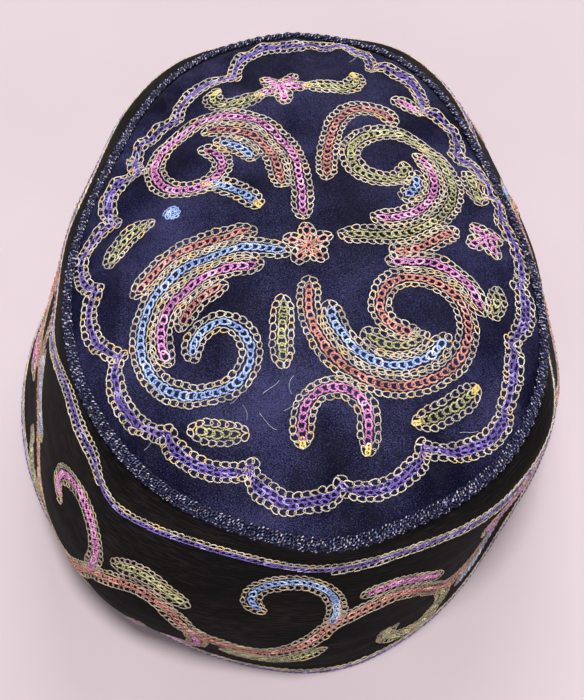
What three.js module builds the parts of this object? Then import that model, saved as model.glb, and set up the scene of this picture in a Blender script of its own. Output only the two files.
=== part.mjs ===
// An oval smoking cap in stiffened cloth, standing on its rim with its hollow open below.
// Its pieces are the side band, the domed top panel and the plaited braid over the seam between them.
// Lengths are millimetres. +Z is up, +Y is towards the forehead and +X is the wearer's right.
import * as THREE from "three";

// Driving sizes of the cap
const RIM_WIDTH = 177;
const RIM_LENGTH = 192;
const BAND_HEIGHT = 80;
const BAND_WALL = 2;
const CROWN_RISE = 16;
const CROWN_WALL = 2;
const SEAM_GAP = 0.3;

// How much higher the band stands at the back than at the middle of a side, as a share of its height
const BAND_LEAN = 0.03;

// The plaited braid: a flat strip whose lobes swell and close along its length
const BRAID_WIDTH = 5;
const BRAID_THICKNESS = 3;
const BRAID_LOBE_LENGTH = 5.3;
const BRAID_LOBE_SWELL = 0.12;

// Fineness of the solids
const STEPS_PER_TURN = 96;
const BAND_ROWS = 11;
const CROWN_ROWS = 9;
const STEPS_PER_LOBE = 3;
const BRAID_SIDES = 8;

// The band's outline at four levels, from the rim through its belly and shoulder to the seam.
// up is a share of the band's height, wide of the rim's width, long and forward of its length.
// taper is how far the sides draw in towards the forehead and spread towards the back.
const BAND_SECTIONS = [
  { up: 0.0, wide: 1.0, long: 1.0, forward: -0.01, taper: 0.04 },
  { up: 0.38, wide: 0.917, long: 1.029, forward: 0.001, taper: 0.104 },
  { up: 0.86, wide: 0.714, long: 0.961, forward: 0.008, taper: 0.222 },
  { up: 1.0, wide: 0.622, long: 0.886, forward: -0.027, taper: 0.32 },
];

// Where the soft band leaves that outline: at and spread are degrees round from the wearer's right.
// The pushes outwards are shares of the rim's width, at the same four levels.
const BAND_SWELLS = [
  { at: 90, spread: 35, rim: 0.0, belly: -0.014, shoulder: -0.046, seam: -0.038 },
  { at: 318, spread: 30, rim: -0.07, belly: -0.053, shoulder: 0.036, seam: 0.011 },
  { at: 228, spread: 26, rim: -0.005, belly: 0.035, shoulder: 0.023, seam: -0.004 },
  { at: 180, spread: 30, rim: 0.011, belly: -0.014, shoulder: 0.016, seam: 0.032 },
  { at: 140, spread: 22, rim: 0.007, belly: 0.018, shoulder: 0.036, seam: 0.037 },
  { at: 40, spread: 22, rim: 0.014, belly: 0.029, shoulder: 0.049, seam: 0.041 },
  { at: 0, spread: 30, rim: -0.02, belly: -0.019, shoulder: -0.033, seam: 0.014 },
  { at: 272, spread: 12, rim: 0.01, belly: 0.006, shoulder: 0.007, seam: 0.014 },
];

// Dents and folds of the top panel. x and y are shares of the rim's width and length, runs is degrees.
// reach and across, the fold's half length and half width, are shares of the rim's width.
// deep is a share of the crown's rise.
const CROWN_FOLDS = [
  { x: -0.27, y: 0.14, runs: 8, reach: 0.11, across: 0.05, deep: 0.24 },
  { x: 0.26, y: 0.13, runs: -10, reach: 0.11, across: 0.05, deep: 0.24 },
  { x: 0.0, y: 0.12, runs: 0, reach: 0.2, across: 0.08, deep: 0.1 },
  { x: -0.22, y: -0.34, runs: -38, reach: 0.15, across: 0.045, deep: 0.14 },
  { x: 0.27, y: -0.24, runs: 62, reach: 0.12, across: 0.04, deep: 0.12 },
];

// How square the crown's dome is: it stays high and then drops to the seam
const CROWN_SQUARENESS = 2.4;

// Value of one column of the levels' table at any height, on a smooth curve through the four levels
function atHeight(column, up) {
  const last = BAND_SECTIONS.length - 1;
  const slope = (k) => {
    const above = Math.min(k + 1, last);
    const below = Math.max(k - 1, 0);
    return (column[above] - column[below]) / (BAND_SECTIONS[above].up - BAND_SECTIONS[below].up);
  };
  let k = 0;
  while (k < last - 1 && up > BAND_SECTIONS[k + 1].up) k += 1;
  const span = BAND_SECTIONS[k + 1].up - BAND_SECTIONS[k].up;
  const s = (up - BAND_SECTIONS[k].up) / span;
  const start = (2 * s - 3) * s * s + 1;
  const leave = ((s - 2) * s + 1) * s * span;
  const arrive = (s - 1) * s * s * span;
  return start * column[k] + leave * slope(k) + (1 - start) * column[k + 1] + arrive * slope(k + 1);
}

const sectionColumn = (name) => BAND_SECTIONS.map((section) => section[name]);
const WIDE = sectionColumn("wide");
const LONG = sectionColumn("long");
const FORWARD = sectionColumn("forward");
const TAPER = sectionColumn("taper");

// How far the swells push the band outwards at one direction and height
function swell(turn, up) {
  return BAND_SWELLS.reduce((sum, { at, spread, rim, belly, shoulder, seam }) => {
    const away = THREE.MathUtils.euclideanModulo(THREE.MathUtils.radToDeg(turn) - at + 180, 360) - 180;
    return sum + RIM_WIDTH * atHeight([rim, belly, shoulder, seam], up) * Math.exp(-((away / spread) ** 2));
  }, 0);
}

// A point of the band's outside. turn is the direction in radians from the wearer's right.
function bandPoint(turn, up) {
  const side = Math.cos(turn) * (1 - atHeight(TAPER, up) * Math.sin(turn));
  const point = new THREE.Vector3(
    (RIM_WIDTH / 2) * atHeight(WIDE, up) * side,
    (RIM_LENGTH / 2) * atHeight(LONG, up) * Math.sin(turn),
    0,
  );
  point.setLength(point.length() + swell(turn, up));
  point.y += RIM_LENGTH * atHeight(FORWARD, up);
  point.z = BAND_HEIGHT * up * (1 - BAND_LEAN * Math.sin(turn));
  return point;
}

// The level direction that points straight out of the band's cloth
function outwards(turn, up) {
  const step = 1e-3;
  const along = bandPoint(turn + step, up).sub(bandPoint(turn - step, up));
  return new THREE.Vector3(along.y, -along.x, 0).normalize();
}

// How deep the folds dent the top panel at one place
function foldDepth(x, y) {
  return CROWN_FOLDS.reduce((sum, fold) => {
    const runs = THREE.MathUtils.degToRad(fold.runs);
    const dx = x - fold.x * RIM_WIDTH;
    const dy = y - fold.y * RIM_LENGTH;
    const along = (dx * Math.cos(runs) + dy * Math.sin(runs)) / (fold.reach * RIM_WIDTH);
    const across = (dy * Math.cos(runs) - dx * Math.sin(runs)) / (fold.across * RIM_WIDTH);
    return sum + fold.deep * CROWN_RISE * Math.exp(-(along ** 2) - across ** 2);
  }, 0);
}

// A point of the top panel's upper side. share runs from 0 at its middle to 1 at the seam.
function crownPoint(turn, share) {
  const seam = bandPoint(turn, 1);
  const middle = new THREE.Vector3(0, RIM_LENGTH * FORWARD[FORWARD.length - 1], BAND_HEIGHT);
  const point = middle.lerp(seam, share);
  const dome = 1 - share ** CROWN_SQUARENESS;
  point.z += CROWN_RISE * dome - foldDepth(point.x, point.y) * (1 - share ** 4);
  return point;
}

// A closed skin over rows of points, each row once round the cap. A row of one point is a pole.
// Rows that start and end on a pole close there, and the others close from the last row to the first.
function skin(rows) {
  const points = rows.flat();
  const firsts = [];
  rows.reduce((first, row) => {
    firsts.push(first);
    return first + row.length;
  }, 0);
  const round = Math.max(...rows.map((row) => row.length));
  const at = (row, step) => firsts[row] + (rows[row].length === 1 ? 0 : step % round);
  const faces = [];
  const joins = rows[0].length === 1 ? rows.length - 1 : rows.length;
  for (let row = 0; row < joins; row += 1) {
    const next = (row + 1) % rows.length;
    for (let step = 0; step < round; step += 1) {
      const corners = [at(row, step), at(row, step + 1), at(next, step + 1), at(next, step)];
      if (corners[0] !== corners[1]) faces.push(corners[0], corners[1], corners[2]);
      if (corners[2] !== corners[3]) faces.push(corners[0], corners[2], corners[3]);
    }
  }
  const geometry = new THREE.BufferGeometry().setFromPoints(points);
  geometry.setIndex(faces);
  geometry.computeVertexNormals();
  return geometry;
}

const turnAt = (step, steps) => (step / steps) * 2 * Math.PI;

// One row of points round the cap, from a function of the direction
const ring = (steps, pointAt) => Array.from({ length: steps }, (_, step) => pointAt(turnAt(step, steps)));

// The band: its outer side from the rim to just under the crown, and back down inside the wall
function bandGeometry() {
  const top = 1 - (CROWN_WALL + SEAM_GAP) / BAND_HEIGHT;
  const levels = Array.from({ length: BAND_ROWS }, (_, row) => (top * row) / (BAND_ROWS - 1));
  const outer = levels.map((up) => ring(STEPS_PER_TURN, (turn) => bandPoint(turn, up)));
  const inner = levels.map((up) =>
    ring(STEPS_PER_TURN, (turn) => bandPoint(turn, up).addScaledVector(outwards(turn, up), -BAND_WALL)),
  );
  return skin([...outer, ...inner.reverse()]);
}

// The crown: its underside from the middle to the seam, its edge, and back over the top
function crownGeometry() {
  const quarter = Math.PI / 2;
  const shares = Array.from({ length: CROWN_ROWS }, (_, row) => Math.sin(((row + 1) / CROWN_ROWS) * quarter));
  const wall = new THREE.Vector3(0, 0, CROWN_WALL);
  const middle = crownPoint(0, 0);
  const over = shares.map((share) => ring(STEPS_PER_TURN, (turn) => crownPoint(turn, share)));
  const under = over.map((row) => row.map((point) => point.clone().sub(wall)));
  return skin([[middle.clone().sub(wall)], ...under, ...over.reverse(), [middle]]);
}

// The braid is bent over the edge of the seam, part of it on the top panel and part on the band.
// along runs from minus a half on the band to a half on the panel, and high is the height over the cloth.
function braidPoint(turn, along, high) {
  const step = 0.01;
  const seam = bandPoint(turn, 1);
  const out = outwards(turn, 1);
  const down = bandPoint(turn, 1 - step).sub(seam);
  const inward = crownPoint(turn, 1 - step).sub(seam);
  const bandFaces = Math.atan2(down.dot(out), -down.z);
  const crownFaces = Math.atan2(-inward.dot(out), inward.z);
  const lies = along < 0 ? bandFaces : crownFaces;
  const faces = THREE.MathUtils.lerp(bandFaces, crownFaces, THREE.MathUtils.smoothstep(along, -0.5, 0.5));
  const sideways = high * Math.cos(faces) - along * BRAID_WIDTH * Math.sin(lies);
  const upwards = high * Math.sin(faces) + along * BRAID_WIDTH * Math.cos(lies);
  seam.z += upwards;
  return seam.addScaledVector(out, sideways);
}

// Length of the seam once round the cap
function seamLength() {
  const points = ring(STEPS_PER_TURN, (turn) => bandPoint(turn, 1));
  return points.reduce((sum, point, step) => sum + point.distanceTo(points[(step + 1) % STEPS_PER_TURN]), 0);
}

// The braid: flat oval sections round the seam, wider in the middle of each lobe
function braidGeometry() {
  const lobes = Math.round(seamLength() / BRAID_LOBE_LENGTH);
  const steps = lobes * STEPS_PER_LOBE;
  const section = Array.from({ length: BRAID_SIDES }, (_, side) => turnAt(side, BRAID_SIDES));
  const rows = section.map((angle) =>
    Array.from({ length: steps }, (_, step) => {
      const swollen = 1 + BRAID_LOBE_SWELL * Math.cos(turnAt(step, STEPS_PER_LOBE));
      const high = SEAM_GAP + (BRAID_THICKNESS / 2) * (1 + Math.cos(angle));
      return braidPoint(turnAt(step, steps), (Math.sin(angle) * swollen) / 2, high);
    }),
  );
  return skin(rows);
}

// A named piece of cloth
function piece(name, geometry, color, roughness) {
  const material = new THREE.MeshStandardMaterial({ color, roughness, metalness: 0 });
  const mesh = new THREE.Mesh(geometry, material);
  mesh.name = name;
  return mesh;
}

const cap = new THREE.Group();
cap.name = "smoking_cap";
cap.add(
  piece("band", bandGeometry(), 0x0d0d12, 0.85),
  piece("crown", crownGeometry(), 0x1a1f3d, 0.6),
  piece("edge_braid", braidGeometry(), 0x23283c, 0.45),
);

// The frame's origin is the middle of the ground that the cap covers
const middle = new THREE.Box3().setFromObject(cap).getCenter(new THREE.Vector3());
cap.children.forEach((mesh) => mesh.geometry.translate(-middle.x, -middle.y, 0));

export default cap;
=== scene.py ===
# %% [markdown]
# # An embroidered smoking cap
# The cap is a flared side band, a domed top panel, a plaited braid over the seam between them, and a
# great deal of chain stitch. Each of them gets its own step below.
# The packed CAD model comes in first as a fixed frame. It says where each piece is and how large it is,
# and the dressed pieces built here take its place, so nothing has to be fitted afterwards.

# %% The frame
import math

import bpy
import numpy as np
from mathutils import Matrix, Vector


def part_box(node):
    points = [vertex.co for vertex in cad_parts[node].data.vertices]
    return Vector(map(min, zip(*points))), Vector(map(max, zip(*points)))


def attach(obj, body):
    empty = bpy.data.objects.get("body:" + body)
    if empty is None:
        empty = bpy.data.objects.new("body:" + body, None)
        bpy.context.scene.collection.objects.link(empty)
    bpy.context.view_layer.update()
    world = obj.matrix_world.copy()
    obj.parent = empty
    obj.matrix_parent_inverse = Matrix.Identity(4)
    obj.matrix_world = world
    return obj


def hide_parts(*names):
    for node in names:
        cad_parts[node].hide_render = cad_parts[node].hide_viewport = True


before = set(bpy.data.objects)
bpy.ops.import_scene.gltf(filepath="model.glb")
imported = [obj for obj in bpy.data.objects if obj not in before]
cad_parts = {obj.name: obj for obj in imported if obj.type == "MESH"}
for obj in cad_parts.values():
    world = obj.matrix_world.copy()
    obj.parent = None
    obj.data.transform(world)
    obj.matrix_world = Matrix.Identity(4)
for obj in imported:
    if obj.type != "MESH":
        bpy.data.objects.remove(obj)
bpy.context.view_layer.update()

MM = 0.001

# %% [markdown]
# ## The camera
# A camera can be placed by eye, by matching a picture behind the viewport, or from numbers. Numbers are
# the easiest to keep. The photograph looks down on the back of the cap from about a forearm away, which
# is why the near side looks so much larger than the far one, and a short distance matters as much here
# as the angle does.

# %% The camera
# angles in degrees and places in metres
PICTURE_HEIGHT = 700
CAMERA_AZIMUTH = -2.5
CAMERA_ELEVATION = 59.0
CAMERA_DISTANCE = 0.359
CAMERA_LOOKS_AT = (-0.0002, -0.0160, 0.0450)
FOCAL_LENGTH_PIXELS = 1240
SENSOR_MM = 36.0
NEAREST_SEEN = 0.01


def place_camera():
    """A camera that looks at the cap from the photograph's side."""
    azimuth, elevation = math.radians(CAMERA_AZIMUTH), math.radians(CAMERA_ELEVATION)
    back = np.array([
        math.sin(azimuth) * math.cos(elevation),
        -math.cos(azimuth) * math.cos(elevation),
        math.sin(elevation),
    ])
    data = bpy.data.cameras.new("camera")
    data.sensor_width = SENSOR_MM
    data.lens = FOCAL_LENGTH_PIXELS * SENSOR_MM / PICTURE_HEIGHT
    data.clip_start = NEAREST_SEEN
    camera = bpy.data.objects.new("camera", data)
    camera.location = np.array(CAMERA_LOOKS_AT) + back * CAMERA_DISTANCE
    camera.rotation_euler = (math.pi / 2 - elevation, 0, azimuth)
    bpy.context.scene.collection.objects.link(camera)
    bpy.context.scene.camera = camera
    return camera


camera = place_camera()
print("lens in mm:", round(camera.data.lens, 1))

# %% [markdown]
# ## The outline of the band
# The band is soft cloth, so no primitive has its shape. It could be sculpted, or drawn as a few rings
# and skinned. Here it is a formula: four levels from the rim to the seam say how wide and how long the
# band is, and a few swells push it in or out on one side. The same formula later gives the place of
# every stitch, which a sculpted mesh couldn't do so simply.

# %% The outline of the band
# in mm, but for the lean, the share by which the seam is lower in front and higher behind
RIM_WIDTH = 177.0
RIM_LENGTH = 192.0
BAND_HEIGHT = 80.0
BAND_WALL = 2.0
BAND_LEAN = 0.03
SEAM_STEP = 2.3
OUTLINE_STEPS = 360
OUTLINE_ROWS = 11

# at four heights: the width and the length as shares of the rim's, the shift forward as a share of the
# rim's length, and how much narrower the front is
LEVELS = {
    "up": [0.0, 0.38, 0.86, 1.0],
    "wide": [1.0, 0.917, 0.714, 0.622],
    "long": [1.0, 1.029, 0.961, 0.886],
    "forward": [-0.01, 0.001, 0.008, -0.027],
    "taper": [0.04, 0.104, 0.222, 0.32],
}
# at and spread in degrees, then the push at the rim, the belly, the shoulder and the seam
SWELLS = [
    (90, 35, 0.0, -0.014, -0.046, -0.038),
    (318, 30, -0.07, -0.053, 0.036, 0.011),
    (228, 26, -0.005, 0.035, 0.023, -0.004),
    (180, 30, 0.011, -0.014, 0.016, 0.032),
    (140, 22, 0.007, 0.018, 0.036, 0.037),
    (40, 22, 0.014, 0.029, 0.049, 0.041),
    (0, 30, -0.02, -0.019, -0.033, 0.014),
    (272, 12, 0.01, 0.006, 0.007, 0.014),
]


def at_level(column, up):
    """A column of the levels' table at any height, on a smooth curve through its four values."""
    ups, column = np.array(LEVELS["up"]), np.asarray(column, float)
    above, below = np.minimum(np.arange(4) + 1, 3), np.maximum(np.arange(4) - 1, 0)
    slope = (column[above] - column[below]) / (ups[above] - ups[below])
    k = np.clip(np.searchsorted(ups, up) - 1, 0, 2)
    span = ups[k + 1] - ups[k]
    s = (up - ups[k]) / span
    start = (2 * s - 3) * s * s + 1
    leave = ((s - 2) * s + 1) * s * span * slope[k]
    arrive = (s - 1) * s * s * span * slope[k + 1]
    return start * column[k] + leave + (1 - start) * column[k + 1] + arrive


def band_outline(turn, up):
    """The band's outside before it is centred, in mm. turn is in radians from the wearer's right."""
    turn, up = np.broadcast_arrays(np.asarray(turn, float), np.asarray(up, float))
    x = RIM_WIDTH / 2 * at_level(LEVELS["wide"], up) * np.cos(turn)
    x = x * (1 - at_level(LEVELS["taper"], up) * np.sin(turn))
    y = RIM_LENGTH / 2 * at_level(LEVELS["long"], up) * np.sin(turn)
    push = np.zeros(turn.shape)
    for at, spread, *pushes in SWELLS:
        away = (np.degrees(turn) - at + 180) % 360 - 180
        push = push + RIM_WIDTH * at_level(pushes, up) * np.exp(-((away / spread) ** 2))
    grown = 1 + push / np.hypot(x, y)
    y = y * grown + RIM_LENGTH * at_level(LEVELS["forward"], up)
    return np.stack([x * grown, y, BAND_HEIGHT * up * (1 - BAND_LEAN * np.sin(turn))], -1)


all_round = np.linspace(0, 2 * np.pi, OUTLINE_STEPS + 1)
outline_ups = np.linspace(0, 1 - SEAM_STEP / BAND_HEIGHT, OUTLINE_ROWS)
outline_rows = [band_outline(all_round, up) for up in outline_ups]
outline_points = np.concatenate(outline_rows)
CENTRE = np.append((outline_points.min(0) + outline_points.max(0))[:2] / 2, 0)


def band_plain(turn, up):
    """Points of the band's outside in the frame, in mm, before any creases."""
    return band_outline(turn, up) - CENTRE


low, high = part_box("band")
print("band in the frame:", [round(v / MM, 1) for v in high - low])
print("band by formula:  ", np.round(outline_points.max(0) - outline_points.min(0), 1))

# %% [markdown]
# ## The dome of the top panel
# The top panel is one piece of sateen that was eased into the seam, so it rises a little and stays
# nearly flat before it drops at the edge. A sphere would be too round. Its height is written over the
# plan instead, so that needlework can be designed flat, as it was when the cloth was in its hoop, and
# then laid on.

# %% The dome of the top panel
CROWN_RISE = 16.0
CROWN_WALL = 2.0
CROWN_SQUARENESS = 2.4
SEAM_STEPS = 1440
# x and y as shares of the rim, the way it runs in degrees, its reach and width as shares of the rim's
# width, and its depth as a share of the rise
CROWN_FOLDS = [
    (-0.27, 0.14, 8, 0.11, 0.05, 0.24),
    (0.26, 0.13, -10, 0.11, 0.05, 0.24),
    (0.0, 0.12, 0, 0.2, 0.08, 0.1),
    (-0.22, -0.34, -38, 0.15, 0.045, 0.14),
    (0.27, -0.24, 62, 0.12, 0.04, 0.12),
]
CROWN_MIDDLE = np.array([0, RIM_LENGTH * LEVELS["forward"][3]]) - CENTRE[:2]

seam_turns = np.linspace(0, 2 * np.pi, SEAM_STEPS + 1)
seam = band_plain(seam_turns, 1.0)
seam_bearing = np.unwrap(np.arctan2(seam[:, 1] - CROWN_MIDDLE[1], seam[:, 0] - CROWN_MIDDLE[0]))
seam_radius = np.hypot(seam[:, 0] - CROWN_MIDDLE[0], seam[:, 1] - CROWN_MIDDLE[1])


def toward(degrees):
    """The unit way in plan at so many degrees from the x axis."""
    return np.array([math.cos(math.radians(degrees)), math.sin(math.radians(degrees))])


def to_seam(x, y):
    """For places in plan: the share of the way to the seam, the seam's height and its distance there."""
    bearing = np.arctan2(y - CROWN_MIDDLE[1], x - CROWN_MIDDLE[0])
    bearing = np.where(bearing < seam_bearing[0], bearing + 2 * np.pi, bearing)
    radius = np.interp(bearing, seam_bearing, seam_radius)
    share = np.hypot(x - CROWN_MIDDLE[0], y - CROWN_MIDDLE[1]) / radius
    return share, np.interp(bearing, seam_bearing, seam[:, 2]), radius


def crown_plain(x, y):
    """Height of the top panel over a place in plan, in mm, before any puckers."""
    share, seam_height, _ = to_seam(x, y)
    dents = 0
    for fold_x, fold_y, runs, reach, across, deep in CROWN_FOLDS:
        c, s = toward(runs)
        dx = x + CENTRE[0] - fold_x * RIM_WIDTH
        dy = y + CENTRE[1] - fold_y * RIM_LENGTH
        along = (dx * c + dy * s) / (reach * RIM_WIDTH)
        away = (dy * c - dx * s) / (across * RIM_WIDTH)
        dents = dents + deep * CROWN_RISE * np.exp(-(along ** 2) - away ** 2)
    dome = CROWN_RISE * (1 - share ** CROWN_SQUARENESS)
    return BAND_HEIGHT + (seam_height - BAND_HEIGHT) * share + dome - dents * (1 - share ** 4)


print("crown's height in mm:", round(float(crown_plain(*CROWN_MIDDLE)), 1))

# %% [markdown]
# ## Designing the needlework
# Tambour work is drawn with a hook that walks along a line, so the natural way to store it is as walks:
# start here, head this way, and bend this much for so many millimetres. A walk whose bend grows is a
# scroll. Bezier handles would do as well, but a row of such a table can be changed without a viewport.
# The panel has four scrolls that whirl round a small flower. A star flower, an arch and some sprigs lie
# about them. All of it is plain ornament that can be found on any such cap.

# %% Designing the needlework
WALK_STEP = 0.25
# colour, start x and y, heading, then stretches of length, bend at their start and bend at their end,
# in mm, degrees and degrees a mm
CROWN_STROKES = [
    ("blue", -1, -18, 160, (42, 1.4, 2.7), (36, 2.7, 4.0), (32, 4.4, 8.5), (9, 8.5, 14.0)),
    ("coral", 4, -25, 258, (24, 1.4, 3.0), (42, 2.6, 3.3), (38, 3.5, 6.4), (14, 6.4, 13.0)),
    ("olive", 12, -13, -6, (30, 1.0, 2.7), (40, 2.6, 3.8), (34, 4.2, 8.0), (8, 8.0, 14.0)),
    ("pink", 3, -7, 88, (28, 0.0, 1.8), (46, 2.4, 3.6), (34, 4.0, 7.5), (10, 7.5, 14.0)),
    ("coral", 10, 6, 88, (22, -0.4, -1.2), (16, -3.0, -8.0), (8, -9.0, -13.0)),
    ("blue", -8, -3, 124, (10, 0.8, 2.6), (9, 3.0, 5.0)),
    ("olive", -3, -31, 268, (10, -1.0, 0.6), (9, 0.6, 2.0)),
    ("olive", -36, -2, 190, (8, 3.0, 5.0), (10, 5.0, 2.0)),
    ("olive", -13, -65, 178, (14, -0.5, -2.0)),
    ("olive", 27, -64, 14, (20, 1.6, 2.2)),
    ("pink", 0, -70, 92, (9, -1.0, -3.0), (22, -7.4, -7.4), (8, -2.0, 0.0)),
    ("olive", -6, 41.5, 212, (8, -1.0, -5.0), (8, -8.0, -11.0), (5, -15.0, -20.0)),
    ("olive", 6, 44, -5, (9, 0.0, 2.5), (7, 6.5, 9.5), (5, 12.0, 18.0)),
    ("olive", 50, -34, 68, (10, 1.5, 1.5)),
    ("olive", 52, 3, 98, (13, 0.5, 0.5)),
    ("pink", 31, 41, -22, (9, -2.0, -4.0)),
]
# strokes by number whose two ends are finished in yellow, and how many points of the walk that takes
TIPPED_STROKES = [10, 11, 12, 9, 5]
TIP_POINTS = 9
# a small coil of blue with no outline: its middle, how far it reaches from there in mm, and its turns
ROSETTE_PLACE = (-31, -1)
ROSETTE_REACHES = (0.5, 1.9)
ROSETTE_TURNS = 2.5
ROSETTE_POINTS = 80
# a companion runs beside a scroll: colour, which scroll, how far to its left, and from where to where
CROWN_COMPANIONS = [
    ("coral", 0, -5.0, 9, 40), ("pink", 0, 5.2, 6, 62), ("coral", 0, 10.2, 18, 48),
    ("blue", 1, 5.2, 8, 64), ("olive", 1, 10.2, 24, 62), ("pink", 1, -5.0, 73, 95),
    ("pink", 2, 5.2, 9, 60), ("coral", 2, -5.0, 12, 30), ("blue", 2, 10.2, 24, 50),
    ("coral", 3, 5.2, 10, 58), ("blue", 3, 10.2, 26, 54),
]
# a flower's colour, middle x and y, petals, their length and the way the first one points
CROWN_FLOWERS = [
    ("pink", -0.5, 45, 5, 7.8, 60),
    ("coral", 4, -15, 5, 6.2, 20),
    ("pink", 51, -10, 4, 5.5, 30),
]
print("scrolls on the crown:", len(CROWN_STROKES), "with", len(CROWN_COMPANIONS), "lines beside them")

# %% Walking along a line
def walk(x, y, heading, *stretches):
    """Points along a walk of stretches, each with its length and its bend at either end."""
    points = [np.array([[x, y]], float)]
    for length, bend, last_bend in stretches:
        steps = max(2, round(length / WALK_STEP))
        s = np.linspace(0, length, steps + 1)
        way = np.radians(heading + bend * s + (last_bend - bend) * s * s / (2 * length))
        middle = (way[1:] + way[:-1]) / 2
        moves = np.stack([np.cos(middle), np.sin(middle)], -1) * (length / steps)
        points.append(points[-1][-1] + np.cumsum(moves, 0))
        heading += (bend + last_bend) * length / 2
    return np.concatenate(points)


first_scroll = walk(*CROWN_STROKES[0][1:])
print("the first scroll is", round(len(first_scroll) * WALK_STEP), "mm long")

# %% Moving along and beside a line
def distances(points):
    """The distance along a line from its start to each of its points."""
    return np.append(0, np.cumsum(np.linalg.norm(np.diff(points, axis=0), axis=1)))


def unit(way):
    """The same way with length one, for one way or for many."""
    return way / np.maximum(np.linalg.norm(way, axis=-1), 1e-9)[..., None]


def left_of(way):
    """The way to the left of a way in plan."""
    return np.stack([-way[..., 1], way[..., 0]], -1)


def spaced(points, pitch, closes_by=None):
    """The same line with its points a pitch apart, and the unit way ahead at each.

    closes_by is the step from a closed line's start to its start one round later."""
    if closes_by is not None:
        points = np.concatenate([points, points[:1] + closes_by])
    along = distances(points)
    count = max(2, round(along[-1] / pitch))
    at = np.arange(count) * along[-1] / count + (0 if closes_by is not None else along[-1] / count / 2)

    def place(distance):
        return np.stack([np.interp(distance, along, points[:, k]) for k in range(2)], -1)

    return place(at), unit(place(at + pitch / 2) - place(at - pitch / 2))


def sideways(points, offset, closes_by=None):
    """A line beside another. offset is one distance or one for each point, to the left of the walk."""
    if closes_by is None:
        way = np.gradient(points, axis=0)
    else:
        way = np.concatenate([points[1:], points[:1] + closes_by])
        way = way - np.concatenate([points[-1:] - closes_by, points[:-1]])
    return points + left_of(unit(way)) * np.asarray(offset)[..., None]


print("the first scroll has room for", len(spaced(first_scroll, 2.0)[0]), "stitches 2 mm apart")

# %% [markdown]
# ## The scalloped border
# A border of lobes runs just inside the seam. Lobes on hand-drawn work are never alike, so a sine wave
# would look printed. A short table gives each notch by its bearing, how far inside the seam it is, and
# how far the lobe after it swells, and one formula draws every lobe.

# %% The scalloped border
# bearing round the crown's middle in degrees, distance inside the seam in mm, then the swell of the
# next lobe in mm and how full its stitching is
SCALLOP_NOTCHES = [
    (2, 4.5, 3.2, 0.5), (32, 7.5, 5.0, 0.3), (50, 12.0, 6.0, 0.7), (69, 11.0, 7.5, 0.6),
    (88, 9.5, 7.0, 0.7), (107, 17.0, 5.0, 0.6), (129, 14.0, 6.0, 0.2), (153, 10.5, 5.0, 0.8),
    (174, 9.5, 7.0, 0.3), (197, 8.0, 5.0, 0.5), (218, 11.5, 6.0, 0.6), (239, 10.5, 5.0, 1.0),
    (257, 14.0, 7.5, 1.0), (274, 13.0, 5.5, 0.9), (291, 13.5, 6.0, 1.0), (311, 6.5, 1.5, 0.6),
    (325, 9.0, 3.0, 0.8), (341, 5.5, 3.0, 0.5),
]
LOBE_STEPS = 40
LOBE_ROUNDNESS = 0.65


def scallop_line():
    """The border's middle line in plan, once round, and how full the stitching is along it."""
    notches = []
    for bearing, inside, _, _ in SCALLOP_NOTCHES:
        way = toward(bearing)
        radius = to_seam(*(CROWN_MIDDLE + way))[2]
        notches.append(CROWN_MIDDLE + way * (radius - inside))
    line, fullness = [], []
    for k, (_, _, swell, full) in enumerate(SCALLOP_NOTCHES):
        start, end = notches[k], notches[(k + 1) % len(notches)]
        s = np.linspace(0, 1, LOBE_STEPS, endpoint=False)
        chord = end - start
        out = np.array([chord[1], -chord[0]]) / np.linalg.norm(chord)
        bow = (4 * s * (1 - s)) ** LOBE_ROUNDNESS
        line.append(start + chord * s[:, None] + out * swell * bow[:, None])
        fullness.append(full * np.sqrt(np.sin(np.pi * s)))
    return np.concatenate(line), np.concatenate(fullness)


scallop, scallop_full = scallop_line()
print("scalloped border:", round(float(distances(scallop)[-1])), "mm round")

# %% [markdown]
# ## Laying out the band
# The band is a strip, so its needlework is designed flat as well: across is the distance round the cap
# from the middle of the back, and up is the height over the rim. A table of lengths turns a distance
# into a direction. The line under the seam wanders as it does on the real cap, so it has a short table
# of heights with eased bends between them.

# %% Laying out the band
BACK_TURN = 1.5 * np.pi
MOTIF_LEVEL = 0.45
RIM_LINE = 1.3
ROUND_STEPS = 1440
LINE_POINTS = 720
# direction in degrees from the wearer's right, and the height there as a share of the band's height
SHOULDER_HEIGHTS = [
    (20, 0.86), (60, 0.84), (100, 0.855), (140, 0.84), (172, 0.86), (189, 0.745), (210, 0.915),
    (221, 0.91), (231, 0.81), (249, 0.837), (268, 0.805), (290, 0.845), (312, 0.825), (342, 0.86),
]

round_turns = BACK_TURN + np.linspace(-np.pi, np.pi, ROUND_STEPS + 1)
round_length = distances(band_plain(round_turns, MOTIF_LEVEL))
BAND_ROUND = float(round_length[-1])
round_length = round_length - np.interp(BACK_TURN, round_turns, round_length)


def band_turn(across):
    """The direction at a distance round the band from the middle of the back."""
    start = round_length[0]
    return np.interp((across - start) % BAND_ROUND + start, round_length, round_turns)


def shoulder_height(turn):
    """Height in mm of the line under the seam, eased between the table's stations."""
    stations = SHOULDER_HEIGHTS + [(SHOULDER_HEIGHTS[0][0] + 360, SHOULDER_HEIGHTS[0][1])]
    at, high = np.array(stations).T
    degrees = (np.degrees(turn) - at[0]) % 360 + at[0]
    k = np.clip(np.searchsorted(at, degrees) - 1, 0, len(at) - 2)
    s = (degrees - at[k]) / (at[k + 1] - at[k])
    return BAND_HEIGHT * (high[k] + (high[k + 1] - high[k]) * (1 - np.cos(np.pi * s)) / 2)


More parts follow.
